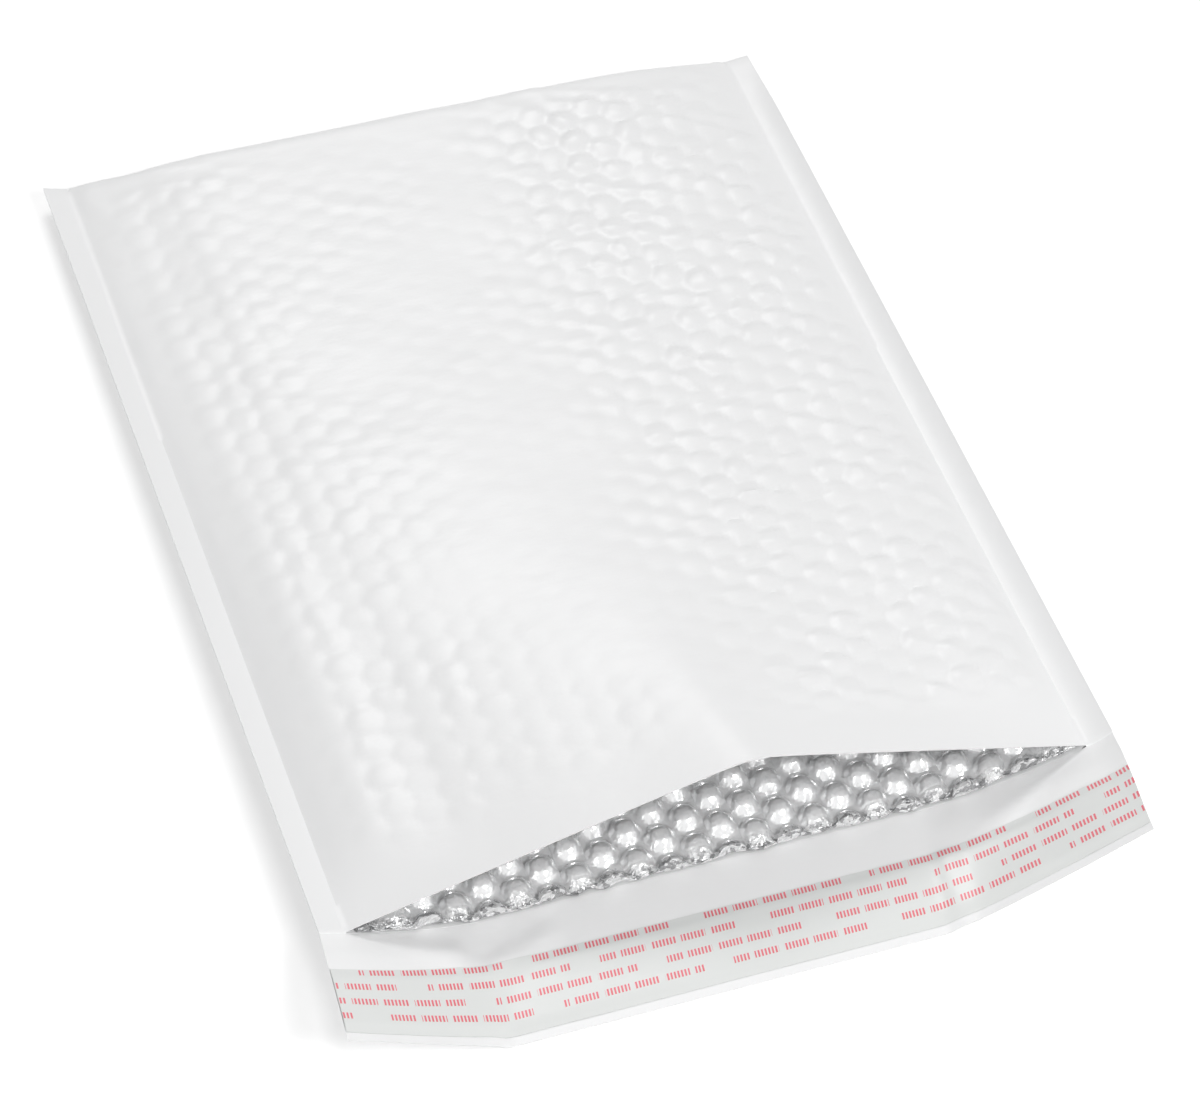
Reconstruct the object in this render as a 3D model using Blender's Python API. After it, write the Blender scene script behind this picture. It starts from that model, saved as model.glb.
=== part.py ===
"""Padded mailing envelope, lying on its back with its mouth propped open.

It is one sheet of white film folded at the far end, lined with bubble film, sealed along
both sides, and longer at the back, where the flap carries an adhesive band under a
release liner.

Frame: X across the envelope, Y along it, from the flap's free edge at -Y to the fold at
+Y, and Z up. The origin is on the surface it lies on, under the middle of its box.
A place on the sheet is given by its distance along the flat sheet from the left edge,
called reach here, and by its Y.
"""
import math

import bmesh
import bpy

# Sheet, in metres
WIDTH = 0.216
BODY_LENGTH = 0.279
FLAP_LENGTH = 0.038
FILM = 0.0004
CLEARANCE = 0.0003

# Side seams: a flat seal, then the shoulder where the lining comes to its full thickness
SEAL = 0.007
SHOULDER_AT_MOUTH = 0.026
SHOULDER_AT_FOLD = 0.045
SHOULDER_POWER = 2.5
LINER_EDGE = 0.010
FIRST_BUBBLES = 0.013

# Bubble lining
BUBBLE_PITCH = 0.0094
LINER_BASE = 0.0005
DOME_HEIGHT = 0.0035
DOMED_DEPTH = 0.072
MEAN_DOME = 0.7 * DOME_HEIGHT
FRONT_SETBACK = 0.012
BUMP_HEIGHT = 0.0007
BUMP_FREE_MOUTH = 0.012
BUMP_FREE_FOLD = 0.008

# How the body lies
FOLD_RADIUS = 0.005
FOLD_GAP = 0.0006
MOUTH_GAP = 0.0245
LEFT_FOLD_LIFT = 0.0063
RIGHT_FOLD_LIFT = 0.0030
MOUTH_EDGE_LIFT = 0.0116
LEFT_DRAW_IN = 0.0045
RIGHT_DRAW_IN = 0.0022
FOLD_FLAT_MARGIN = 0.028
CURL_POWER = 1.5
RIDGE_AT_MOUTH = 0.116
RIDGE_AT_FOLD = 0.072
TENT_DEPTH = 0.030
RIDGE_SOFTENING_DEPTH = 0.150
PEAK_PULL = 0.0035

# How the flap lies: a flat middle between two raised wings
LEFT_WING = 0.042
RIGHT_WING = 0.054
LEFT_WING_ANGLE = math.radians(28.8)
RIGHT_WING_ANGLE = math.radians(24.4)
FLAP_SHIFT = -0.010
LEFT_FLAP_POWER = 1.1
RIGHT_FLAP_POWER = 1.25

# Closure on the flap
RELEASE_LINER = 0.0003
RELEASE_WIDTH = 0.0215
RELEASE_FROM_EDGE = 0.0025
ADHESIVE = 0.0003
ADHESIVE_WIDTH = 0.014
ADHESIVE_END_MARGIN = 0.004

# Stations of the plain surfaces
COARSE_STEP = 0.013
COARSE_ROW_STEP = 0.022
MOUTH_ROW_STEP = 0.006
FLAP_ROWS = 4
FOLD_TURNS = (math.radians(35), math.radians(65), math.radians(90))
THINNEST_TIP = 0.1
THINNEST_SLIT = 0.0001
MOUTH_OVERHANG = 0.001
FLAT_ANGLE = math.radians(0.6)
MERGE_DISTANCE = 1e-7

FREE_EDGE = -(BODY_LENGTH + FLAP_LENGTH) / 2
MOUTH = FREE_EDGE + FLAP_LENGTH
FOLD = -FREE_EDGE
LINER_INSET = FILM + CLEARANCE
VALLEY_INSET = LINER_INSET + LINER_BASE
PACK = 2 * (VALLEY_INSET + DOME_HEIGHT - FILM)

# Bubble lattice: columns across the sheet, rows half a pitch apart
LATTICE_SPAN = WIDTH - 2 * FIRST_BUBBLES
COLUMNS = round(LATTICE_SPAN / (BUBBLE_PITCH / math.sqrt(3)))
COLUMN_STEP = LATTICE_SPAN / COLUMNS
ROWS = round((BODY_LENGTH - FOLD_RADIUS) / (BUBBLE_PITCH / 2))
ROW_STEP = (BODY_LENGTH - FOLD_RADIUS) / ROWS


def mix(a, b, share):
    return a + (b - a) * share


def smooth(share):
    share = min(max(share, 0.0), 1.0)
    return share * share * (3 - 2 * share)


def depth_share(y):
    """0 at the mouth and 1 at the fold."""
    return min(max((y - MOUTH) / BODY_LENGTH, 0.0), 1.0)


def flap_share(y):
    """0 at the mouth and 1 at the flap's free edge."""
    return min(max((MOUTH - y) / FLAP_LENGTH, 0.0), 1.0)


def side_edges(y):
    """X of the sheet's left and right edges at this Y."""
    left = mix(LEFT_DRAW_IN, 0.0, depth_share(y)) - WIDTH / 2
    right = WIDTH / 2 - mix(RIGHT_DRAW_IN, 0.0, depth_share(y))
    middle = (WIDTH - LEFT_WING - RIGHT_WING) / 2
    left_corner = FLAP_SHIFT - middle - LEFT_WING * math.cos(LEFT_WING_ANGLE)
    right_corner = FLAP_SHIFT + middle + RIGHT_WING * math.cos(RIGHT_WING_ANGLE)
    on_flap = flap_share(y)
    return mix(left, left_corner, on_flap), mix(right, right_corner, on_flap)


def across(reach, y):
    left, right = side_edges(y)
    return mix(left, right, reach / WIDTH)


def back_height(reach, y):
    """Height of the back sheet's underside: flat in the middle, rising to both edges."""
    on_flap = flap_share(y)
    if reach < WIDTH / 2:
        from_edge, fold_lift = reach, LEFT_FOLD_LIFT
        wing, angle, flap_power = LEFT_WING, LEFT_WING_ANGLE, LEFT_FLAP_POWER
    else:
        from_edge, fold_lift = WIDTH - reach, RIGHT_FOLD_LIFT
        wing, angle, flap_power = RIGHT_WING, RIGHT_WING_ANGLE, RIGHT_FLAP_POWER
    margin = mix(wing, FOLD_FLAT_MARGIN, depth_share(y))
    lift = mix(MOUTH_EDGE_LIFT, fold_lift, depth_share(y))
    lift = mix(lift, wing * math.sin(angle), on_flap)
    power = mix(CURL_POWER, flap_power, on_flap)
    return lift * max(1 - from_edge / margin, 0.0) ** power


def ridge_share(reach, y):
    """0 at the seals and 1 along the ridge that runs in from the mouth's peak."""
    ridge = mix(RIDGE_AT_MOUTH, RIDGE_AT_FOLD, depth_share(y))
    if reach < ridge:
        share = (reach - SEAL) / (ridge - SEAL)
    else:
        share = (WIDTH - SEAL - reach) / (WIDTH - SEAL - ridge)
    return min(max(share, 0.0), 1.0)


def fullness(reach, y):
    """0 on the seals and 1 where the lining has its full thickness."""
    shoulder = mix(SHOULDER_AT_MOUTH, SHOULDER_AT_FOLD, depth_share(y))
    share = (min(reach, WIDTH - reach) - SEAL) / shoulder
    return 1 - (1 - min(max(share, 0.0), 1.0)) ** SHOULDER_POWER


def front_height(reach, y):
    """Height of the front sheet's outer face between the bumps."""
    sealed = back_height(reach, y) + 2 * FILM
    if min(reach, WIDTH - reach) <= SEAL:
        return sealed
    gap = FOLD_GAP + (MOUTH_GAP - FOLD_GAP) * (1 - depth_share(y)) ** 2
    share = ridge_share(reach, y)
    roundness = 1 + smooth((y - MOUTH) / RIDGE_SOFTENING_DEPTH)
    arch = 1 - (1 - share) ** roundness
    lined = sealed + PACK * fullness(reach, y) + gap * arch
    foot = back_height(SEAL if reach < WIDTH / 2 else WIDTH - SEAL, y) + 2 * FILM
    tent = mix(foot, 2 * FILM + PACK + gap, share)
    return mix(tent, lined, smooth((y - MOUTH) / TENT_DEPTH))


def section(reach, y, inset):
    """Lower and upper height at a depth under the outer faces, rounded off at the fold."""
    low = back_height(reach, y) + inset
    high = front_height(reach, y) - inset
    radius = max(FOLD_RADIUS - inset, FOLD_RADIUS * THINNEST_TIP)
    turned = (y - (FOLD - inset - radius)) / radius
    if turned <= 0:
        return low, high
    share = max(math.sqrt(max(1 - turned * turned, 0.0)), THINNEST_TIP)
    middle = (low + high) / 2
    return mix(middle, low, share), mix(middle, high, share)


def fold_rows(inset):
    radius = max(FOLD_RADIUS - inset, FOLD_RADIUS * THINNEST_TIP)
    return [FOLD - inset - radius + radius * math.sin(turn) for turn in FOLD_TURNS]


def spaced(start, end, step):
    count = max(round((end - start) / step), 1)
    return [mix(start, end, i / count) for i in range(count + 1)]


def coarse_reaches(first):
    """Places across the sheet for a plain surface, with one under the mouth's peak."""
    left = spaced(FIRST_BUBBLES, RIDGE_AT_MOUTH, COARSE_STEP)
    right = spaced(RIDGE_AT_MOUTH, WIDTH - FIRST_BUBBLES, COARSE_STEP)
    return first + left + right[1:] + [WIDTH - reach for reach in reversed(first)]


def coarse_rows(inset):
    near = spaced(MOUTH, MOUTH + TENT_DEPTH, MOUTH_ROW_STEP)
    last = FOLD - inset - max(FOLD_RADIUS - inset, FOLD_RADIUS * THINNEST_TIP)
    return near + spaced(near[-1], last, COARSE_ROW_STEP)[1:] + fold_rows(inset)


def lattice_reach(column, row):
    """Place across the sheet of a lattice point: every other row is half a step over."""
    if row % 2:
        step = min(max(column - 0.5, 0.0), COLUMNS)
    else:
        step = min(column, COLUMNS)
    return FIRST_BUBBLES + step * COLUMN_STEP


def is_bubble(column, row):
    """True at a bubble's centre: one lattice point in three, never on the outer columns."""
    if row % 2:
        column = column - 1
    inside = 0 < column < COLUMNS - row % 2
    return inside and (column - row // 2 - row) % 3 == 0


def pull(reach, y):
    """How far the raised front sheet is drawn back from the mouth."""
    return PEAK_PULL * ridge_share(reach, y) * (1 - depth_share(y)) ** 2


def new_object(name, bm, collection):
    bmesh.ops.remove_doubles(bm, verts=bm.verts[:], dist=MERGE_DISTANCE)
    bmesh.ops.dissolve_degenerate(bm, edges=bm.edges[:], dist=MERGE_DISTANCE)
    bmesh.ops.recalc_face_normals(bm, faces=bm.faces[:])
    mesh = bpy.data.meshes.new(name)
    bm.to_mesh(mesh)
    bm.free()
    obj = bpy.data.objects.new(name, mesh)
    collection.objects.link(obj)
    return obj


def slab(name, columns, rows, place, collection):
    """A solid over a grid. place(column, row) gives its lower and its upper corner there."""
    bm = bmesh.new()
    bmesh.ops.create_grid(bm, x_segments=columns, y_segments=rows, size=1)
    below = bm.verts[:]
    faces = bm.faces[:]
    raised = bmesh.ops.extrude_face_region(bm, geom=faces)["geom"]
    above = [part for part in raised if isinstance(part, bmesh.types.BMVert)]
    for verts, side in ((below, 0), (above, 1)):
        for vert in verts:
            column = round((vert.co.x + 1) / 2 * columns)
            row = round((vert.co.y + 1) / 2 * rows)
            vert.co = place(column, row)[side]
    bmesh.ops.triangulate(bm, faces=bm.faces[:], quad_method="SHORT_EDGE")
    return new_object(name, bm, collection)


def opened(low, high):
    """Keeps a thin slit between a lower and an upper height that would cross."""
    middle = (low + high) / 2
    return min(low, middle - THINNEST_SLIT / 2), max(high, middle + THINNEST_SLIT / 2)


def corners(reach, y, low, high):
    """Lower and upper corner for slab, with the upper one drawn back at the mouth."""
    x = across(reach, y)
    return (x, y, low), (x, y + pull(reach, y), high)


def make_outer_film(collection, cutters):
    """The folded sheet: the body as one bumped solid with its inside cut out, and the flap."""
    flap_rows = spaced(FREE_EDGE, MOUTH - FILM, FLAP_LENGTH / FLAP_ROWS)
    body_start = len(flap_rows)
    body_rows = [MOUTH + ROW_STEP * i for i in range(ROWS + 1)] + fold_rows(0)
    rows = flap_rows + body_rows
    edge = [0.0, SEAL]

    def place(column, row):
        y = rows[row]
        lattice_row = row - body_start
        if column < len(edge):
            reach, bumped = edge[column], False
        elif column > len(edge) + COLUMNS + 1:
            reach, bumped = WIDTH - edge[2 * len(edge) + COLUMNS + 1 - column], False
        else:
            reach = lattice_reach(column - len(edge), lattice_row)
            bumped = is_bubble(column - len(edge), lattice_row)
        if lattice_row < 0:
            low = back_height(reach, y)
            x = across(reach, y)
            return (x, y, low), (x, y, low + FILM)
        low, high = section(reach, y, 0)
        if bumped and MOUTH + BUMP_FREE_MOUTH < y < FOLD - BUMP_FREE_FOLD:
            high += BUMP_HEIGHT * fullness(reach, y)
        return corners(reach, y, low, high)

    film = slab("outer_film", COLUMNS + 2 * len(edge) + 1, len(rows) - 1, place, collection)
    merge = film.modifiers.new("merge_flat_faces", "DECIMATE")
    merge.decimate_type = "DISSOLVE"
    merge.angle_limit = FLAT_ANGLE
    cut(film, make_film_inside(cutters))
    return film


def make_film_inside(cutters):
    """The space inside the film, which runs out through the mouth."""
    reaches = coarse_reaches([SEAL, LINER_EDGE])
    rows = [MOUTH - MOUTH_OVERHANG] + coarse_rows(FILM)

    def place(column, row):
        reach, y = reaches[column], rows[row]
        low, high = opened(*section(reach, y, FILM))
        if row == 0:
            low += THINNEST_SLIT
        return corners(reach, y, low, high)

    return slab("film_inside", len(reaches) - 1, len(rows) - 1, place, cutters)


def make_bubble_liner(collection, cutters):
    """The folded bubble film, domes inward."""
    reaches = coarse_reaches([LINER_EDGE])
    rows = coarse_rows(LINER_INSET)

    def place(column, row):
        reach, y = reaches[column], rows[row]
        low, high = section(reach, y, LINER_INSET)
        return corners(reach, y, low, high)

    liner = slab("bubble_liner", len(reaches) - 1, len(rows) - 1, place, collection)
    cut(liner, make_liner_inside(cutters))
    return liner


def make_liner_inside(cutters):
    """The space that is packed, dented by the domes near the mouth."""
    domed_rows = round(DOMED_DEPTH / ROW_STEP)
    first_front_row = round(FRONT_SETBACK / ROW_STEP)
    near = [MOUTH + ROW_STEP * i for i in range(domed_rows + 1)]
    full_inset = VALLEY_INSET + MEAN_DOME
    last = FOLD - full_inset - FOLD_RADIUS * THINNEST_TIP
    far = spaced(near[-1], last, COARSE_ROW_STEP)[1:] + fold_rows(full_inset)
    rows = [MOUTH - MOUTH_OVERHANG] + near + far

    def place(column, row):
        y = rows[row]
        lattice_row = max(row - 1, 0)
        reach = lattice_reach(column, lattice_row)
        full = fullness(reach, y)
        if lattice_row >= domed_rows:
            low, high = section(reach, y, VALLEY_INSET + MEAN_DOME * full)
            return corners(reach, y, *opened(low, high))
        low, high = section(reach, y, VALLEY_INSET)
        if is_bubble(column, lattice_row) and row > 1:
            low += DOME_HEIGHT * full
            high -= DOME_HEIGHT * full
        if lattice_row < first_front_row:
            high = front_height(reach, y) + CLEARANCE
        return corners(reach, y, *opened(low, high))

    return slab("liner_inside", COLUMNS + 1, len(rows) - 1, place, cutters)


def cut(obj, cutter):
    cutter.hide_render = True
    cutter.display_type = "WIRE"
    boolean = obj.modifiers.new(cutter.name, "BOOLEAN")
    boolean.operation = "DIFFERENCE"
    boolean.solver = "EXACT"
    boolean.object = cutter


def make_strip(name, from_edge, strip_width, end_margin, base, thickness, collection):
    """A band lying along the flap, on its inner face."""
    reaches = spaced(end_margin, LEFT_WING, COARSE_STEP)
    reaches += spaced(LEFT_WING, WIDTH - RIGHT_WING, COARSE_STEP)[1:]
    reaches += spaced(WIDTH - RIGHT_WING, WIDTH - end_margin, COARSE_STEP)[1:]
    start = FREE_EDGE + from_edge
    rows = spaced(start, start + strip_width, FLAP_LENGTH / FLAP_ROWS)

    def place(column, row):
        reach, y = reaches[column], rows[row]
        x = across(reach, y)
        low = back_height(reach, y) + base
        return (x, y, low), (x, y, low + thickness)

    return slab(name, len(reaches) - 1, len(rows) - 1, place, collection)


def give_material(obj, name, colour, roughness, transmission=0.0):
    material = bpy.data.materials.new(name)
    material.use_nodes = True
    shader = material.node_tree.nodes["Principled BSDF"]
    shader.inputs["Base Color"].default_value = (*colour, 1.0)
    shader.inputs["Roughness"].default_value = roughness
    shader.inputs["Metallic"].default_value = 0.0
    shader.inputs["Transmission Weight"].default_value = transmission
    material.diffuse_color = (*colour, 1.0)
    obj.data.materials.append(material)


def new_collection(name):
    collection = bpy.data.collections.new(name)
    bpy.context.scene.collection.children.link(collection)
    return collection


def main():
    for obj in list(bpy.data.objects):
        bpy.data.objects.remove(obj, do_unlink=True)
    parts = new_collection("padded_envelope")
    cutters = new_collection("cutters")

    film = make_outer_film(parts, cutters)
    liner = make_bubble_liner(parts, cutters)
    adhesive_from_edge = RELEASE_FROM_EDGE + (RELEASE_WIDTH - ADHESIVE_WIDTH) / 2
    adhesive_base = FILM + CLEARANCE
    release_base = adhesive_base + ADHESIVE + CLEARANCE
    adhesive = make_strip("adhesive_strip", adhesive_from_edge, ADHESIVE_WIDTH,
                          ADHESIVE_END_MARGIN, adhesive_base, ADHESIVE, parts)
    release = make_strip("release_liner", RELEASE_FROM_EDGE, RELEASE_WIDTH,
                         0.0, release_base, RELEASE_LINER, parts)

    give_material(film, "white_film", (0.86, 0.86, 0.865), 0.42)
    give_material(liner, "bubble_film", (0.80, 0.81, 0.82), 0.12, 0.5)
    give_material(adhesive, "hot_melt_adhesive", (0.80, 0.77, 0.66), 0.25)
    give_material(release, "coated_release_liner", (0.80, 0.82, 0.81), 0.35)


main()
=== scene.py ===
"""Looks of the padded envelope: fine film, bubbles, closure, floor, light and camera.

A place on the sheet is given by its distance along the flat sheet from the left edge,
called reach here, and by its Y, as in the part's source. All lengths are in metres.
"""
import math

import bpy
import numpy as np
from mathutils import Matrix, Vector


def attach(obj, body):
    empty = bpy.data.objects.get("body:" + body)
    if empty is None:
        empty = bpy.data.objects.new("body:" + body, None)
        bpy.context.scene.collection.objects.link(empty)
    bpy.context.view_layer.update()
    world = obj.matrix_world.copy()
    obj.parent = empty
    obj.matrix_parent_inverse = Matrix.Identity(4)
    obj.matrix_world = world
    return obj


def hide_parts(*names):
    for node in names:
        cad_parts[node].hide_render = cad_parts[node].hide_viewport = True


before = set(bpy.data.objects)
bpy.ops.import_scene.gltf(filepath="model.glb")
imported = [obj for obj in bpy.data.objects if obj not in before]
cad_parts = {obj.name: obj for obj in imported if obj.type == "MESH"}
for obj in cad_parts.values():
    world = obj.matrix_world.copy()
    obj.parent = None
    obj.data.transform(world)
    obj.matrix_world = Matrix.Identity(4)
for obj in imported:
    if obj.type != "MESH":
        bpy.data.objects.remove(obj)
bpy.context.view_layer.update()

# Sheet and lining, as in the part's source
WIDTH = 0.216
BODY_LENGTH = 0.279
FLAP_LENGTH = 0.038
FILM = 0.0004
CLEARANCE = 0.0003
SEAL = 0.007
SHOULDER_AT_MOUTH = 0.026
SHOULDER_AT_FOLD = 0.045
SHOULDER_POWER = 2.5
LINER_EDGE = 0.010
FIRST_BUBBLES = 0.013
BUBBLE_PITCH = 0.0094
LINER_BASE = 0.0005
DOME_HEIGHT = 0.0035
FRONT_SETBACK = 0.012
BUMP_FREE_MOUTH = 0.012
BUMP_FREE_FOLD = 0.008
FOLD_RADIUS = 0.005
FOLD_GAP = 0.0006
MOUTH_GAP = 0.0245
LEFT_FOLD_LIFT = 0.0063
RIGHT_FOLD_LIFT = 0.0030
MOUTH_EDGE_LIFT = 0.0116
LEFT_DRAW_IN = 0.0045
RIGHT_DRAW_IN = 0.0022
FOLD_FLAT_MARGIN = 0.028
CURL_POWER = 1.5
RIDGE_AT_MOUTH = 0.116
RIDGE_AT_FOLD = 0.072
TENT_DEPTH = 0.030
RIDGE_SOFTENING_DEPTH = 0.150
PEAK_PULL = 0.0035
LEFT_WING = 0.042
RIGHT_WING = 0.054
LEFT_WING_ANGLE = math.radians(28.8)
RIGHT_WING_ANGLE = math.radians(24.4)
FLAP_SHIFT = -0.010
LEFT_FLAP_POWER = 1.1
RIGHT_FLAP_POWER = 1.25
RELEASE_WIDTH = 0.0215
RELEASE_FROM_EDGE = 0.0025
ADHESIVE_WIDTH = 0.014
THINNEST_TIP = 0.1
THINNEST_SLIT = 0.0001
MOUTH_OVERHANG = 0.001

FREE_EDGE = -(BODY_LENGTH + FLAP_LENGTH) / 2
MOUTH = FREE_EDGE + FLAP_LENGTH
FOLD = -FREE_EDGE
LINER_INSET = FILM + CLEARANCE
VALLEY_INSET = LINER_INSET + LINER_BASE
PACK = 2 * (VALLEY_INSET + DOME_HEIGHT - FILM)
LATTICE_SPAN = WIDTH - 2 * FIRST_BUBBLES
COLUMN_STEP = LATTICE_SPAN / round(LATTICE_SPAN / (BUBBLE_PITCH / math.sqrt(3)))
ROW_STEP = (BODY_LENGTH - FOLD_RADIUS) / round((BODY_LENGTH - FOLD_RADIUS) / (BUBBLE_PITCH / 2))

# Fineness of the meshes
COARSENING = 1
FILM_STEP = 0.00125 * COARSENING
LINER_STEP = 0.0008 * COARSENING
DEEP_LINER_STEP = 0.004
PLAIN_STEP = 0.006
STRIP_STEP = 0.0008
FILM_FOLD_ROWS = 8
INSIDE_FOLD_ROWS = 3
SOFT_EDGE = math.radians(40)

# The front sheet's ridge and the right edge's curl
RIDGE_ROUNDING = 0.045
EDGE_CURL = 0.0014
EDGE_CURL_WIDTH = 0.006
EDGE_CURL_RUN_OUT = 0.030
THIN_LIP = 0.00012
LIP_DEPTH = 0.004

# Bumps that the bubbles raise on the film
BUMP_HEIGHT = 0.0013
BUMP_RADIUS = 0.0047
BUMP_POWER = 2.4
LEAST_BUMP = 0.45
BUMP_STRAY = 0.0007
STRAY_CELL = 0.007
BUMP_RUN_IN_MOUTH = 0.010
BUMP_RUN_IN_FOLD = 0.006
BUMP_RUN_IN_SIDE = 0.007
BACK_DENT = 0.0005
MIDDLE_TAUTNESS = 0.10
RIGHT_TAUTNESS = 0.80
LEFT_TAUTNESS = 0.26
PATCH_TAUTNESS = 0.15
LEAST_TAUTNESS = 0.05
RIGHT_TAUT_FROM = 0.105
RIGHT_TAUT_RUN_IN = 0.045
LEFT_TAUT_TO = 0.070
LEFT_TAUT_RUN_OUT = 0.040
PATCH_CELL = 0.030

# Waves and creases of the film
FILM_WAVE = 0.00025
FILM_WAVE_CELL = 0.022
FILM_CREASE = 0.0006
FILM_CREASE_LENGTH = 0.020
FILM_CREASE_WIDTH = 0.007
FILM_CREASE_SLANT = 0.3
WRINKLE_RUN_IN = 0.004
CREASED_SHARE = 0.25
FLAP_WAVE = 0.0007
FLAP_WAVE_CELL = 0.017
FLAP_WAVE_RUN_IN = 0.010
FLAP_RUN_IN_SHARE = 0.25
FLAP_CREASE = 0.0007
FLAP_CREASE_WIDTH = 0.006
FLAP_CREASES = [((0.058, -0.1298), (0.041, -0.1362)),
                ((0.041, -0.1362), (0.0385, -0.1563)),
                ((0.0145, -0.1185), (0.0325, -0.1296)),
                ((0.166, -0.1382), (0.165, -0.1575))]

# Domes and cut edge of the lining
DOMED_DEPTH = 0.090
DOME_RADIUS = 0.0040
DOME_POWER = 3.0
DOME_FLATNESS = 0.75
LEAST_DOME = 0.85
CRUMPLE = 0.00015
CRUMPLE_CELL = 0.0018
RAGGED_EDGE = 0.0007
RAGGED_DEPTH = 0.005
RAGGED_CELL = 0.004
TOOTH_CELL = 0.0015

# Adhesive and release liner
ADHESIVE_END = 0.004
ADHESIVE_CLEARANCE = 0.0001
ADHESIVE_THICKNESS = 0.0003
RELEASE_END = 0.0002
RELEASE_THICKNESS = 0.00012
RELEASE_LIFT_MIDDLE = 0.0010
RELEASE_LIFT_EDGE = 0.0005
RELEASE_WAVE = 0.00004
RELEASE_WAVE_CELL = 0.008

# Random numbers: the size of the table they come from, and a seed for each use
NOISE_TABLE = 256
NOISE_ORIGIN = 64
BUBBLE_TURN_ACROSS = 12.9898
BUBBLE_TURN_ALONG = 78.233
BUBBLE_SPREAD = 43758.5453
FILM_WAVE_SEED = 11
FILM_CREASE_SEED = 12
RAGGED_SEED = 21
TOOTH_SEED = 22
CRUMPLE_SEED = 23
RELEASE_SEED = 31
PATCH_SEED = 41
STRAY_ACROSS_SEED = 42
STRAY_ALONG_SEED = 43
FLAP_WAVE_SEED = 51

# Materials. A grain is a noise's fineness, and a bump has a strength and a depth
BODY_WHITE = (0.885, 0.887, 0.89)
# The flap's white is painted light: whiter than the body's, to make up for the shade the raised mouth
# casts on the flap
FLAP_PAINTED_LIGHT_WHITE = (0.95, 0.953, 0.955)
WHITES_BLEND = 0.001
FILM_ROUGHNESS = (0.36, 0.43)
FILM_GRAIN = 160
FILM_BUMP = (0.30, 0.0006)
LINER_TONE = (0.92, 0.925, 0.93)
# Painted shade: the edge flecks in this colour stand for the shading of the liner's crinkled cut edge
LINER_PAINTED_SHADE = (0.34, 0.345, 0.35)
LINER_METAL = 0.5
LINER_ROUGHNESS = 0.12
LINER_COAT_IOR = 1.9
LINER_COAT_ROUGHNESS = 0.03
LINER_GRAIN = 900
LINER_BUMP = (0.8, 0.0008)
LINER_CRUMPLE = 0.35
EDGE_CRUMPLE = 2.0
FLECK_GRAIN = 520
FLECK_SHARE = 0.47
FLECKED_DEPTH = 0.001
FLECKS_END = 0.003
HOT_MELT_DARK = (0.78, 0.75, 0.62)
HOT_MELT_PALE = (0.84, 0.81, 0.70)
HOT_MELT_ROUGHNESS = 0.25
HOT_MELT_GRAIN = 300
HOT_MELT_BUMP = (0.3, 0.0002)
RELEASE_TONE = (0.81, 0.825, 0.813)
RELEASE_ROUGHNESS = (0.30, 0.40)
RELEASE_GRAIN = 200
RELEASE_BUMP_GRAIN = 500
RELEASE_BUMP = (0.15, 0.0002)
MARK_RED = (0.86, 0.20, 0.24)

# Rows of plain marks on the release liner
MARK_ROW_PITCH = 0.0050
MARK_FIRST_ROW = 0.0052
MARK_HEIGHT = 0.0020
MARK_RUN = 0.038
MARK_PERIOD = 0.046
MARK_STAGGER = 0.017
MARK_OFFSET = 1.0
DASH_PITCH = 0.00095
DASH_WIDTH = 0.00052
WORD_PITCH = 0.0081
WORD_LENGTH = 0.0066

# Floor and light. A lamp has a place, a target, a size and a power in watts
FLOOR_HALF = 4.0
FLOOR_TONE = 0.90
FLOOR_GLOW = 0.34
WORLD_FILL = 0.43
LAMPS = {
    "from_the_front": ((0.32, -0.75, 0.75), (0, 0, 0), (0.3, 0.3), 4.5),
    "from_the_left": ((-0.90, -0.55, 0.60), (0, -0.05, 0), (0.15, 0.6), 0.9),
    "from_the_right": ((1.00, -0.10, 0.47), (0, 0, 0), (0.4, 0.4), 0.2),
    "sheen": ((0.11, 0.80, 1.00), (0, 0, 0), (0.35, 0.35), 4.1),
}

# Camera, from the fit to the photograph
CAMERA_PLACE = Vector((-0.23115, -0.64681, 0.77437))
CAMERA_AZIMUTH = math.radians(-20.4)
CAMERA_ELEVATION = math.radians(49.0)
CAMERA_ROLL = math.radians(2.7)
CAMERA_LENS = 114.87
CAMERA_SENSOR = 36.0


def mix(a, b, share):
    return a + (b - a) * share


def smooth(share):
    share = np.clip(share, 0.0, 1.0)
    return share * share * (3 - 2 * share)


def soft_noise(x, y, cell, seed):
    """Smooth noise from -1 to 1 whose hills are about one cell wide."""
    table = np.random.default_rng(seed).uniform(-1, 1, (NOISE_TABLE, NOISE_TABLE))
    u = np.asarray(x) / cell + NOISE_ORIGIN
    v = np.asarray(y) / cell + NOISE_ORIGIN
    column = np.floor(u).astype(int)
    row = np.floor(v).astype(int)
    across_cell = smooth(u - column)
    along_cell = smooth(v - row)
    column = column % (NOISE_TABLE - 1)
    row = row % (NOISE_TABLE - 1)
    near = mix(table[column, row], table[column + 1, row], across_cell)
    far = mix(table[column, row + 1], table[column + 1, row + 1], across_cell)
    return mix(near, far, along_cell)


def depth_share(y):
    """0 at the mouth and 1 at the fold."""
    return np.clip((y - MOUTH) / BODY_LENGTH, 0.0, 1.0)


def flap_share(y):
    """0 at the mouth and 1 at the flap's free edge."""
    return np.clip((MOUTH - y) / FLAP_LENGTH, 0.0, 1.0)


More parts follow.
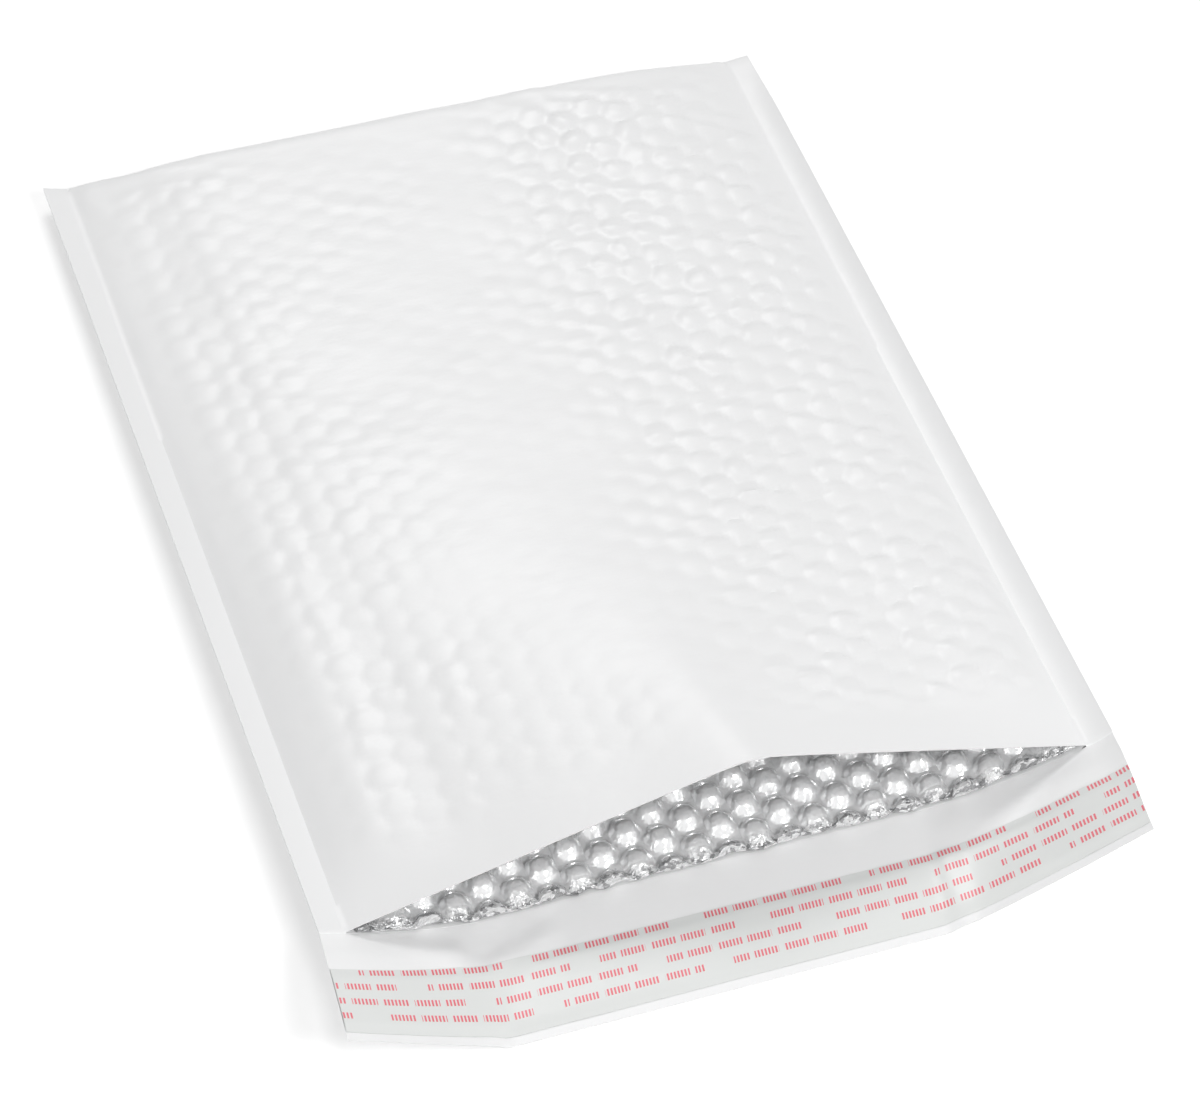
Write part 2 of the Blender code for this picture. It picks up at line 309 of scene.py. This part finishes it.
def across(reach, y):
    """X of a place on the sheet."""
    left = mix(LEFT_DRAW_IN, 0.0, depth_share(y)) - WIDTH / 2
    right = WIDTH / 2 - mix(RIGHT_DRAW_IN, 0.0, depth_share(y))
    middle = (WIDTH - LEFT_WING - RIGHT_WING) / 2
    left_corner = FLAP_SHIFT - middle - LEFT_WING * math.cos(LEFT_WING_ANGLE)
    right_corner = FLAP_SHIFT + middle + RIGHT_WING * math.cos(RIGHT_WING_ANGLE)
    on_flap = flap_share(y)
    return mix(mix(left, left_corner, on_flap), mix(right, right_corner, on_flap), reach / WIDTH)


def back_height(reach, y):
    """Height of the back sheet's underside: flat in the middle, rising to both edges."""
    on_flap = flap_share(y)
    on_left = reach < WIDTH / 2
    wing = np.where(on_left, LEFT_WING, RIGHT_WING)
    angle = np.where(on_left, LEFT_WING_ANGLE, RIGHT_WING_ANGLE)
    from_edge = np.minimum(reach, WIDTH - reach)
    margin = mix(wing, FOLD_FLAT_MARGIN, depth_share(y))
    fold_lift = np.where(on_left, LEFT_FOLD_LIFT, RIGHT_FOLD_LIFT)
    lift = mix(MOUTH_EDGE_LIFT, fold_lift, depth_share(y))
    lift = mix(lift, wing * np.sin(angle), on_flap)
    flap_power = np.where(on_left, LEFT_FLAP_POWER, RIGHT_FLAP_POWER)
    power = mix(CURL_POWER, flap_power, on_flap)
    curled = np.maximum(1 - (WIDTH - reach) / EDGE_CURL_WIDTH, 0.0) ** 2
    curl = EDGE_CURL * curled * smooth((FOLD - y) / EDGE_CURL_RUN_OUT) * (1 - on_flap)
    return lift * np.maximum(1 - from_edge / margin, 0.0) ** power + curl


def ridge_share(reach, y):
    """0 at the seals and 1 along the ridge that runs in from the mouth's peak."""
    ridge = mix(RIDGE_AT_MOUTH, RIDGE_AT_FOLD, depth_share(y))
    left = (reach - SEAL) / (ridge - SEAL)
    right = (WIDTH - SEAL - reach) / (WIDTH - SEAL - ridge)
    share = np.clip(np.minimum(left, right), 0.0, 1.0)
    whole = math.hypot(1, RIDGE_ROUNDING)
    return (whole - np.hypot(1 - share, RIDGE_ROUNDING)) / (whole - RIDGE_ROUNDING)


def fullness(reach, y):
    """0 on the seals and 1 where the lining has its full thickness."""
    shoulder = mix(SHOULDER_AT_MOUTH, SHOULDER_AT_FOLD, depth_share(y))
    share = (np.minimum(reach, WIDTH - reach) - SEAL) / shoulder
    return 1 - (1 - np.clip(share, 0.0, 1.0)) ** SHOULDER_POWER


def front_height(reach, y):
    """Height of the front sheet's outer face between the bumps."""
    sealed = back_height(reach, y) + 2 * FILM
    gap = FOLD_GAP + (MOUTH_GAP - FOLD_GAP) * (1 - depth_share(y)) ** 2
    share = ridge_share(reach, y)
    roundness = 1 + smooth((y - MOUTH) / RIDGE_SOFTENING_DEPTH)
    lined = sealed + PACK * fullness(reach, y) + gap * (1 - (1 - share) ** roundness)
    foot = back_height(np.where(reach < WIDTH / 2, SEAL, WIDTH - SEAL), y) + 2 * FILM
    tent = mix(foot, 2 * FILM + PACK + gap, share)
    height = mix(tent, lined, smooth((y - MOUTH) / TENT_DEPTH))
    return np.where(np.minimum(reach, WIDTH - reach) <= SEAL, sealed, height)


def section(reach, y, inset, back_inset):
    """Lower and upper height at depths under the outer faces, rounded off at the fold."""
    low = back_height(reach, y) + back_inset
    high = front_height(reach, y) - inset
    radius = np.maximum(FOLD_RADIUS - inset, FOLD_RADIUS * THINNEST_TIP)
    turned = np.clip((y - (FOLD - inset - radius)) / radius, 0.0, 1.0)
    share = np.maximum(np.sqrt(1 - turned * turned), THINNEST_TIP)
    middle = (low + high) / 2
    return mix(middle, low, share), mix(middle, high, share)


def pull(reach, y):
    """How far the raised front sheet is drawn back from the mouth."""
    return PEAK_PULL * ridge_share(reach, y) * (1 - depth_share(y)) ** 2


def from_bubble(reach, y):
    """Distance to the nearest bubble's centre, and a number that each bubble has to itself."""
    u = (reach - FIRST_BUBBLES) / (3 * COLUMN_STEP)
    v = (y - MOUTH) / (2 * ROW_STEP)
    best = np.full(np.broadcast(reach, y).shape, np.inf)
    label = np.zeros(best.shape)
    for offset in (0.0, 0.5):
        column = np.round(u - offset) + offset
        row = np.round(v - offset) + offset
        centre = FIRST_BUBBLES + column * 3 * COLUMN_STEP
        away = np.hypot((u - column) * 3 * COLUMN_STEP, (v - row) * 2 * ROW_STEP)
        lined = (centre > FIRST_BUBBLES) & (centre < WIDTH - FIRST_BUBBLES)
        away = np.where(lined, away, np.inf)
        nearer = away < best
        best = np.where(nearer, away, best)
        turn = column * BUBBLE_TURN_ACROSS + row * BUBBLE_TURN_ALONG
        label = np.where(nearer, np.sin(turn) * BUBBLE_SPREAD % 1.0, label)
    return best, label


def tautness(reach, y):
    """How far the bubbles press through: little in the smooth middle, most at the right."""
    right = RIGHT_TAUTNESS * smooth((reach - RIGHT_TAUT_FROM) / RIGHT_TAUT_RUN_IN)
    left = LEFT_TAUTNESS * smooth((LEFT_TAUT_TO - reach) / LEFT_TAUT_RUN_OUT)
    patch = PATCH_TAUTNESS * soft_noise(reach, y, PATCH_CELL, PATCH_SEED)
    return np.clip(MIDDLE_TAUTNESS + right + left + patch, LEAST_TAUTNESS, 1.0)


def bump(reach, y):
    """0 between the bubbles and up to 1 over a bubble's middle, on the outside of the film."""
    stray_across = BUMP_STRAY * soft_noise(reach, y, STRAY_CELL, STRAY_ACROSS_SEED)
    stray_along = BUMP_STRAY * soft_noise(reach, y, STRAY_CELL, STRAY_ALONG_SEED)
    away, label = from_bubble(reach + stray_across, y + stray_along)
    round_top = np.maximum(1 - (away / BUMP_RADIUS) ** BUMP_POWER, 0.0)
    from_mouth = smooth((y - MOUTH - BUMP_FREE_MOUTH) / BUMP_RUN_IN_MOUTH)
    from_fold = smooth((FOLD - BUMP_FREE_FOLD - y) / BUMP_RUN_IN_FOLD)
    from_side = smooth((np.minimum(reach, WIDTH - reach) - LINER_EDGE) / BUMP_RUN_IN_SIDE)
    clear = from_mouth * from_fold * from_side
    return round_top * mix(LEAST_BUMP, 1.0, label) * clear * tautness(reach, y)


def dome(reach, y):
    """0 on the liner's flat film and 1 on top of a bubble."""
    away, label = from_bubble(reach, y)
    profile = np.maximum(1 - (away / DOME_RADIUS) ** DOME_POWER, 0.0) ** DOME_FLATNESS
    return profile * mix(LEAST_DOME, 1.0, label)


def spaced(start, end, step):
    count = max(round((end - start) / step), 1)
    return np.linspace(start, end, count + 1)


def fold_rows(inset, count):
    radius = max(FOLD_RADIUS - inset, FOLD_RADIUS * THINNEST_TIP)
    turns = np.linspace(0, math.pi / 2, count + 1)[1:]
    return FOLD - inset - radius + radius * np.sin(turns)


def slab(name, reaches, rows, place):
    """A closed mesh over a grid. place(reach, y) gives x, lower y, upper y, low and high."""
    reach, y = np.meshgrid(reaches, rows)
    x, y_low, y_high, low, high = place(reach, y)
    corners = np.concatenate([np.stack([x, y_low, low], -1).reshape(-1, 3),
                              np.stack([x, y_high, high], -1).reshape(-1, 3)])
    index = np.arange(reach.size).reshape(reach.shape)
    top = index + reach.size
    near, far = index[:-1, :-1], index[1:, :-1]
    faces = [np.stack([near, far, far + 1, near + 1], -1).reshape(-1, 4)]
    near, far = top[:-1, :-1], top[1:, :-1]
    faces.append(np.stack([near, near + 1, far + 1, far], -1).reshape(-1, 4))
    rim = np.concatenate([index[0, :-1], index[:-1, -1], index[-1, :0:-1], index[:0:-1, 0]])
    following = np.roll(rim, -1)
    faces.append(np.stack([rim, following, following + reach.size, rim + reach.size], -1))
    mesh = bpy.data.meshes.new(name)
    mesh.from_pydata(corners.tolist(), [], np.concatenate(faces).tolist())
    mesh.update()
    obj = bpy.data.objects.new(name, mesh)
    bpy.context.scene.collection.objects.link(obj)
    return obj


def cut(obj, cutter):
    """Cuts one closed mesh out of another and removes the cutter."""
    boolean = obj.modifiers.new("cut", "BOOLEAN")
    boolean.operation = "DIFFERENCE"
    boolean.solver = "EXACT"
    boolean.object = cutter
    evaluated = obj.evaluated_get(bpy.context.evaluated_depsgraph_get())
    mesh = bpy.data.meshes.new_from_object(evaluated)
    obj.modifiers.clear()
    obj.data = mesh
    bpy.data.objects.remove(cutter, do_unlink=True)


def shade(obj, angle=SOFT_EDGE):
    obj.data.shade_smooth()
    obj.data.set_sharp_from_angle(angle=angle)


def crease(reach, y, length, width, seed):
    """0 away from a crease and 1 along it. Creases are this long across the sheet."""
    ridge = 1 - np.abs(soft_noise(reach * width / length, y, width, seed))
    return np.clip((ridge - 1 + CREASED_SHARE) / CREASED_SHARE, 0.0, 1.0) ** 2


def film_wrinkle(reach, y):
    """Slow waves and small creases of the white film."""
    waves = FILM_WAVE * (1 + soft_noise(reach, y, FILM_WAVE_CELL, FILM_WAVE_SEED))
    drawn = tautness(reach, y) * smooth((y - MOUTH - BUMP_FREE_MOUTH) / BUMP_RUN_IN_MOUTH)
    slanted = y + FILM_CREASE_SLANT * reach
    creases = crease(reach, slanted, FILM_CREASE_LENGTH, FILM_CREASE_WIDTH, FILM_CREASE_SEED)
    return waves + FILM_CREASE * creases * drawn


def line_crease(reach, y, start, end):
    """1 along a straight crease between two places on the sheet, and 0 away from it."""
    run, rise = end[0] - start[0], end[1] - start[1]
    share = ((reach - start[0]) * run + (y - start[1]) * rise) / (run * run + rise * rise)
    share = np.clip(share, 0.0, 1.0)
    away = np.hypot(reach - start[0] - share * run, y - start[1] - share * rise)
    return smooth(1 - away / FLAP_CREASE_WIDTH)


def flap_wave(reach, y):
    """Soft waves and creases of the unlined flap, which lies flat in its middle."""
    past_crease = np.maximum(LEFT_WING - reach, reach - (WIDTH - RIGHT_WING))
    raised = smooth(past_crease / FLAP_WAVE_RUN_IN)
    wave = FLAP_WAVE * (1 + soft_noise(reach, y, FLAP_WAVE_CELL, FLAP_WAVE_SEED)) * raised
    creases = [line_crease(reach, y, start, end) for start, end in FLAP_CREASES]
    height = wave + FLAP_CREASE * np.maximum.reduce(creases)
    return height * smooth(flap_share(y) / FLAP_RUN_IN_SHARE)


def make_outer_film():
    flap = spaced(FREE_EDGE, MOUTH - FILM, FILM_STEP)
    body = spaced(MOUTH, FOLD - FOLD_RADIUS, FILM_STEP)
    rows = np.concatenate([flap, body, fold_rows(0, FILM_FOLD_ROWS)])
    sides = spaced(0, SEAL, FILM_STEP)
    inner = spaced(SEAL, WIDTH - SEAL, FILM_STEP)[1:]
    reaches = np.concatenate([sides, inner, WIDTH - sides[-2::-1]])

    def place(reach, y):
        low, high = section(reach, y, 0, 0)
        on_flap = y < MOUTH - FILM / 2
        swell = bump(reach, y)
        dented = smooth((y - MOUTH) / LIP_DEPTH) * smooth((FOLD - y) / FOLD_RADIUS) * fullness(reach, y)
        bottom = low + BACK_DENT * (1 - swell) * dented
        high = high + BUMP_HEIGHT * swell
        past_seal = np.minimum(reach, WIDTH - reach) - SEAL
        high = high + film_wrinkle(reach, y) * smooth(past_seal / WRINKLE_RUN_IN)
        x = across(reach, y)
        lying = back_height(reach, y) + flap_wave(reach, y)
        high = np.where(on_flap, lying + FILM, high)
        bottom = np.where(on_flap, lying, bottom)
        y_high = np.where(on_flap, y, y + pull(reach, y))
        return x, y, y_high, bottom, high

    film = slab("outer_film_sheet", reaches, rows, place)
    cut(film, make_film_inside())
    shade(film)
    return film


def make_film_inside():
    reaches = spaced(SEAL, WIDTH - SEAL, PLAIN_STEP)
    back_inset = FILM + BACK_DENT
    rows = np.concatenate([[MOUTH - MOUTH_OVERHANG],
                           spaced(MOUTH, FOLD - FOLD_RADIUS, PLAIN_STEP),
                           fold_rows(FILM, INSIDE_FOLD_ROWS)])

    def place(reach, y):
        low, high = section(reach, y, FILM, back_inset)
        high = high + (FILM - THIN_LIP) * (1 - smooth((y - MOUTH) / LIP_DEPTH))
        low = np.where(y < MOUTH + THINNEST_SLIT, back_height(reach, y) + FILM, low)
        middle = (low + high) / 2
        low = np.minimum(low, middle - THINNEST_SLIT / 2)
        high = np.maximum(high, middle + THINNEST_SLIT / 2)
        low = np.where(y < MOUTH, low + THINNEST_SLIT, low)
        return across(reach, y), y, y + pull(reach, y), low, high

    return slab("film_inside", reaches, rows, place)


def ragged(reach, y):
    """How far the liner's cut edge strays along Y."""
    along_edge = 0 * reach
    slow = soft_noise(reach, along_edge, RAGGED_CELL, RAGGED_SEED)
    teeth = soft_noise(reach, along_edge, TOOTH_CELL, TOOTH_SEED) / 2
    return RAGGED_EDGE * (slow + teeth) * (1 - smooth((y - MOUTH) / RAGGED_DEPTH))


def make_bubble_liner():
    reaches = spaced(LINER_EDGE, WIDTH - LINER_EDGE, PLAIN_STEP / 4)
    rows = np.concatenate([spaced(MOUTH, MOUTH + RAGGED_DEPTH, PLAIN_STEP / 4),
                           spaced(MOUTH + RAGGED_DEPTH, FOLD - FOLD_RADIUS, PLAIN_STEP)[1:],
                           fold_rows(LINER_INSET, INSIDE_FOLD_ROWS)])
    back_inset = LINER_INSET + BACK_DENT

    def place(reach, y):
        low, high = section(reach, y, LINER_INSET, back_inset)
        y = y + ragged(reach, y)
        return across(reach, y), y, y + pull(reach, y), low, high

    liner = slab("bubble_film", reaches, rows, place)
    cut(liner, make_liner_inside())
    shade(liner)
    return liner


def make_liner_inside():
    reaches = spaced(FIRST_BUBBLES, WIDTH - FIRST_BUBBLES, LINER_STEP)
    last = FOLD - VALLEY_INSET - DOME_HEIGHT - FOLD_RADIUS * THINNEST_TIP
    rows = np.concatenate([[MOUTH - 2 * RAGGED_EDGE - MOUTH_OVERHANG],
                           spaced(MOUTH - 2 * RAGGED_EDGE, MOUTH + DOMED_DEPTH, LINER_STEP),
                           spaced(MOUTH + DOMED_DEPTH, last, DEEP_LINER_STEP)[1:]])
    back_inset = VALLEY_INSET + BACK_DENT

    def place(reach, y):
        swell = dome(reach, y) * fullness(reach, y)
        crumple = CRUMPLE * soft_noise(reach, y, CRUMPLE_CELL, CRUMPLE_SEED)
        low, high = section(reach, np.maximum(y, MOUTH), VALLEY_INSET, back_inset)
        low = low + (DOME_HEIGHT - BACK_DENT) * swell + crumple
        cut_through = y < MOUTH + FRONT_SETBACK
        high = np.where(cut_through, front_height(reach, np.maximum(y, MOUTH)) + CLEARANCE,
                        high - DOME_HEIGHT * swell - crumple)
        return across(reach, y), y, y + pull(reach, y), low, high

    return slab("liner_inside", reaches, rows, place)


def make_adhesive():
    """The band of adhesive on the flap."""
    reaches = spaced(ADHESIVE_END, WIDTH - ADHESIVE_END, PLAIN_STEP / 4)
    start = FREE_EDGE + RELEASE_FROM_EDGE + (RELEASE_WIDTH - ADHESIVE_WIDTH) / 2
    rows = spaced(start, start + ADHESIVE_WIDTH, PLAIN_STEP / 4)

    def place(reach, y):
        low = back_height(reach, y) + flap_wave(reach, y) + FILM + ADHESIVE_CLEARANCE
        return across(reach, y), y, y, low, low + ADHESIVE_THICKNESS

    band = slab("adhesive_band", reaches, rows, place)
    shade(band)
    return band


def make_release_liner():
    """The strip over the adhesive, whose long edges drop to the film."""
    reaches = spaced(RELEASE_END, WIDTH - RELEASE_END, FILM_STEP)
    start = FREE_EDGE + RELEASE_FROM_EDGE
    rows = spaced(start, start + RELEASE_WIDTH, STRIP_STEP)
    middle = start + RELEASE_WIDTH / 2

    def place(reach, y):
        off_adhesive = np.abs(y - middle) - ADHESIVE_WIDTH / 2
        drop = smooth(off_adhesive / ((RELEASE_WIDTH - ADHESIVE_WIDTH) / 2))
        wave = RELEASE_WAVE * soft_noise(reach, y, RELEASE_WAVE_CELL, RELEASE_SEED)
        lifted = mix(RELEASE_LIFT_MIDDLE, RELEASE_LIFT_EDGE, drop) + wave
        low = back_height(reach, y) + flap_wave(reach, y) + lifted
        return across(reach, y), y, y, low, low + RELEASE_THICKNESS

    strip = slab("release_strip", reaches, rows, place)
    add_flat_map(strip, reaches, rows - start)
    shade(strip)
    return strip


def add_flat_map(obj, reaches, rows):
    """A UV map that holds each place's distance along and across the flat strip."""
    u, v = np.meshgrid(reaches, rows)
    flat = np.tile(np.stack([u, v], -1).reshape(-1, 2), (2, 1))
    layer = obj.data.uv_layers.new(name="flat")
    corner = np.zeros(len(obj.data.loops), dtype=int)
    obj.data.loops.foreach_get("vertex_index", corner)
    layer.data.foreach_set("uv", flat[corner].ravel().astype(np.float32))


class Nodes:
    """A material's node tree, with short ways to add and join nodes."""

    def __init__(self, name):
        self.material = bpy.data.materials.new(name)
        self.material.use_nodes = True
        self.tree = self.material.node_tree
        self.shader = self.tree.nodes["Principled BSDF"]

    def add(self, kind, **settings):
        node = self.tree.nodes.new(kind)
        for key, value in settings.items():
            setattr(node, key, value)
        return node

    def join(self, source, target):
        self.tree.links.new(source, target)

    def math(self, operation, a, b=0.0):
        node = self.add("ShaderNodeMath", operation=operation)
        for socket, value in zip(node.inputs, (a, b)):
            if isinstance(value, (int, float)):
                socket.default_value = value
            else:
                self.join(value, socket)
        return node.outputs[0]

    def noise(self, scale, detail=2.0, stretch=(1, 1, 1)):
        place = self.add("ShaderNodeTexCoord")
        mapping = self.add("ShaderNodeMapping")
        mapping.inputs["Scale"].default_value = stretch
        noise = self.add("ShaderNodeTexNoise")
        noise.inputs["Scale"].default_value = scale
        noise.inputs["Detail"].default_value = detail
        self.join(place.outputs["Object"], mapping.inputs["Vector"])
        self.join(mapping.outputs["Vector"], noise.inputs["Vector"])
        return noise.outputs["Fac"]

    def between(self, factor, first, second):
        blend = self.add("ShaderNodeMix", data_type="RGBA")
        self.join(factor, blend.inputs["Factor"])
        blend.inputs["A"].default_value = (*first, 1)
        blend.inputs["B"].default_value = (*second, 1)
        return blend.outputs["Result"]

    def range(self, value, low, high, start=0.0, end=1.0):
        node = self.add("ShaderNodeMapRange")
        self.join(value, node.inputs["Value"])
        node.inputs["From Min"].default_value = start
        node.inputs["From Max"].default_value = end
        node.inputs["To Min"].default_value = low
        node.inputs["To Max"].default_value = high
        return node.outputs["Result"]

    def along_y(self):
        """Y of the place on the piece."""
        place = self.add("ShaderNodeTexCoord")
        split = self.add("ShaderNodeSeparateXYZ")
        self.join(place.outputs["Object"], split.inputs["Vector"])
        return split.outputs["Y"]

    def bump(self, height, strength, distance):
        node = self.add("ShaderNodeBump")
        node.inputs["Strength"].default_value = strength
        node.inputs["Distance"].default_value = distance
        self.join(height, node.inputs["Height"])
        self.join(node.outputs["Normal"], self.shader.inputs["Normal"])


def film_material():
    """White film. The flap, which has no lining under it, is painted a little whiter: painted light
    that makes up for the shade the raised mouth casts on it.
    """
    nodes = Nodes("white_film")
    on_flap = nodes.range(nodes.along_y(), 1.0, 0.0, MOUTH - WHITES_BLEND, MOUTH)
    nodes.join(nodes.between(on_flap, BODY_WHITE, FLAP_PAINTED_LIGHT_WHITE), nodes.shader.inputs["Base Color"])
    roughness = nodes.range(nodes.noise(FILM_GRAIN, 3), *FILM_ROUGHNESS)
    nodes.join(roughness, nodes.shader.inputs["Roughness"])
    nodes.bump(nodes.noise(FILM_GRAIN, 4, (0.5, 1, 1)), *FILM_BUMP)
    return nodes.material


def liner_material():
    """Glossy film that looks silvery and crumpled, with flecks of painted shade along its cut edge that
    stand for the shading of its crinkles.
    """
    nodes = Nodes("bubble_film")
    at_edge = nodes.range(nodes.along_y(), 1.0, 0.0, MOUTH + FLECKED_DEPTH, MOUTH + FLECKS_END)
    # Flecks near the cut edge are painted shade for the crinkles' shading
    shade_fleck = nodes.math("LESS_THAN", nodes.noise(FLECK_GRAIN, 3), FLECK_SHARE)
    painted_shade_mask = nodes.math("MULTIPLY", at_edge, shade_fleck)
    nodes.join(nodes.between(painted_shade_mask, LINER_TONE, LINER_PAINTED_SHADE), nodes.shader.inputs["Base Color"])
    nodes.shader.inputs["Metallic"].default_value = LINER_METAL
    nodes.shader.inputs["Roughness"].default_value = LINER_ROUGHNESS
    nodes.shader.inputs["Coat Weight"].default_value = 1.0
    nodes.shader.inputs["Coat IOR"].default_value = LINER_COAT_IOR
    nodes.shader.inputs["Coat Roughness"].default_value = LINER_COAT_ROUGHNESS
    crumpled = nodes.math("ADD", LINER_CRUMPLE, nodes.math("MULTIPLY", at_edge, EDGE_CRUMPLE))
    nodes.bump(nodes.math("MULTIPLY", nodes.noise(LINER_GRAIN, 4), crumpled), *LINER_BUMP)
    return nodes.material


def adhesive_material():
    """Yellowish hot melt, seen only where the strip over it ends."""
    nodes = Nodes("hot_melt")
    tone = nodes.between(nodes.noise(HOT_MELT_GRAIN, 3), HOT_MELT_DARK, HOT_MELT_PALE)
    nodes.join(tone, nodes.shader.inputs["Base Color"])
    nodes.shader.inputs["Roughness"].default_value = HOT_MELT_ROUGHNESS
    nodes.bump(nodes.noise(2 * HOT_MELT_GRAIN, 2), *HOT_MELT_BUMP)
    return nodes.material


def release_material():
    """Pale coated liner with staggered rows of plain red dashes."""
    nodes = Nodes("release_coating")
    flat = nodes.add("ShaderNodeUVMap", uv_map="flat")
    split = nodes.add("ShaderNodeSeparateXYZ")
    nodes.join(flat.outputs["UV"], split.inputs["Vector"])
    along, over = split.outputs["X"], split.outputs["Y"]
    past_start = nodes.math("SUBTRACT", over, MARK_FIRST_ROW - MARK_ROW_PITCH / 2)
    from_first = nodes.math("DIVIDE", past_start, MARK_ROW_PITCH)
    row = nodes.math("FLOOR", from_first)
    off_row = nodes.math("ABSOLUTE", nodes.math("SUBTRACT", nodes.math("FRACT", from_first), 0.5))
    in_row = nodes.math("LESS_THAN", off_row, MARK_HEIGHT / MARK_ROW_PITCH / 2)
    shifted = nodes.math("ADD", along, nodes.math("MULTIPLY", row, MARK_STAGGER))
    shifted = nodes.math("ADD", shifted, MARK_OFFSET)
    in_run = nodes.math("LESS_THAN", nodes.math("MODULO", shifted, MARK_PERIOD), MARK_RUN)
    in_word = nodes.math("LESS_THAN", nodes.math("MODULO", shifted, WORD_PITCH), WORD_LENGTH)
    in_dash = nodes.math("LESS_THAN", nodes.math("MODULO", shifted, DASH_PITCH), DASH_WIDTH)
    on_strip = nodes.math("GREATER_THAN", row, -0.5)
    marked = nodes.math("MULTIPLY", nodes.math("MULTIPLY", in_row, in_run),
                        nodes.math("MULTIPLY", in_word, in_dash))
    marked = nodes.math("MULTIPLY", marked, on_strip)
    colour = nodes.between(marked, RELEASE_TONE, MARK_RED)
    nodes.join(colour, nodes.shader.inputs["Base Color"])
    roughness = nodes.range(nodes.noise(RELEASE_GRAIN, 2), *RELEASE_ROUGHNESS)
    nodes.join(roughness, nodes.shader.inputs["Roughness"])
    nodes.bump(nodes.noise(RELEASE_BUMP_GRAIN, 3), *RELEASE_BUMP)
    return nodes.material


def give(obj, material):
    obj.data.materials.clear()
    obj.data.materials.append(material)


def dress(obj, node, material):
    give(obj, material)
    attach(obj, "root")
    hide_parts(node)


def make_floor():
    """A pale floor that shows white where it is lit and keeps the shadow."""
    half = FLOOR_HALF
    corners = [(-half, -half, 0), (half, -half, 0), (half, half, 0), (-half, half, 0)]
    mesh = bpy.data.meshes.new("floor")
    mesh.from_pydata(corners, [], [(0, 1, 2, 3)])
    floor = bpy.data.objects.new("floor", mesh)
    bpy.context.scene.collection.objects.link(floor)
    nodes = Nodes("pale_floor")
    nodes.tree.nodes.remove(nodes.shader)
    diffuse = nodes.add("ShaderNodeBsdfDiffuse")
    diffuse.inputs["Color"].default_value = (FLOOR_TONE, FLOOR_TONE, FLOOR_TONE, 1)
    glow = nodes.add("ShaderNodeEmission")
    seen = seen_directly(nodes)
    nodes.join(nodes.math("MULTIPLY", seen, FLOOR_GLOW), glow.inputs["Strength"])
    total = nodes.add("ShaderNodeAddShader")
    nodes.join(diffuse.outputs[0], total.inputs[0])
    nodes.join(glow.outputs[0], total.inputs[1])
    nodes.join(total.outputs[0], nodes.tree.nodes["Material Output"].inputs["Surface"])
    give(floor, nodes.material)


def seen_directly(nodes):
    """1 for camera, glossy and transmission rays."""
    path = nodes.add("ShaderNodeLightPath")
    seen = nodes.math("MAXIMUM", path.outputs["Is Camera Ray"], path.outputs["Is Glossy Ray"])
    return nodes.math("MAXIMUM", seen, path.outputs["Is Transmission Ray"])


def make_world():
    """Soft fill from all sides, with plain white where the world is seen."""
    world = bpy.data.worlds.new("studio")
    bpy.context.scene.world = world
    world.use_nodes = True
    tree = world.node_tree
    fill = tree.nodes["Background"]
    fill.inputs["Color"].default_value = (1, 1, 1, 1)
    path = tree.nodes.new("ShaderNodeLightPath")
    highest = tree.nodes.new("ShaderNodeMath")
    highest.operation = "MAXIMUM"
    tree.links.new(path.outputs["Is Camera Ray"], highest.inputs[0])
    tree.links.new(path.outputs["Is Glossy Ray"], highest.inputs[1])
    with_glass = tree.nodes.new("ShaderNodeMath")
    with_glass.operation = "MAXIMUM"
    tree.links.new(highest.outputs[0], with_glass.inputs[0])
    tree.links.new(path.outputs["Is Transmission Ray"], with_glass.inputs[1])
    strength = tree.nodes.new("ShaderNodeMapRange")
    strength.inputs["To Min"].default_value = WORLD_FILL
    strength.inputs["To Max"].default_value = 1.0
    tree.links.new(with_glass.outputs[0], strength.inputs["Value"])
    tree.links.new(strength.outputs["Result"], fill.inputs["Strength"])


def add_lamp(name, place, target, size, watts):
    lamp = bpy.data.lights.new(name, "AREA")
    lamp.shape = "RECTANGLE"
    lamp.size, lamp.size_y = size
    lamp.energy = watts
    obj = bpy.data.objects.new(name, lamp)
    obj.location = place
    obj.rotation_euler = (Vector(target) - Vector(place)).to_track_quat("-Z", "Y").to_euler()
    bpy.context.scene.collection.objects.link(obj)


def make_lamps():
    for name, (place, target, size, watts) in LAMPS.items():
        add_lamp(name, place, target, size, watts)


def make_camera():
    lens = bpy.data.cameras.new("camera")
    lens.lens = CAMERA_LENS
    lens.sensor_width = CAMERA_SENSOR
    lens.sensor_fit = "HORIZONTAL"
    camera = bpy.data.objects.new("camera", lens)
    level = math.cos(CAMERA_ELEVATION)
    ahead = Vector((-math.sin(CAMERA_AZIMUTH) * level, math.cos(CAMERA_AZIMUTH) * level,
                    -math.sin(CAMERA_ELEVATION)))
    right = Vector((math.cos(CAMERA_AZIMUTH), math.sin(CAMERA_AZIMUTH), 0))
    up = right.cross(ahead)
    rolled_right = math.cos(CAMERA_ROLL) * right + math.sin(CAMERA_ROLL) * up
    rolled_up = math.cos(CAMERA_ROLL) * up - math.sin(CAMERA_ROLL) * right
    turn = Matrix((rolled_right, rolled_up, -ahead)).transposed().to_4x4()
    camera.matrix_world = Matrix.Translation(CAMERA_PLACE) @ turn
    bpy.context.scene.collection.objects.link(camera)
    bpy.context.scene.camera = camera


def main():
    bpy.context.scene.view_settings.view_transform = "Standard"
    dress(make_outer_film(), "outer_film", film_material())
    dress(make_bubble_liner(), "bubble_liner", liner_material())
    dress(make_release_liner(), "release_liner", release_material())
    dress(make_adhesive(), "adhesive_strip", adhesive_material())
    make_floor()
    make_world()
    make_lamps()
    make_camera()


main()
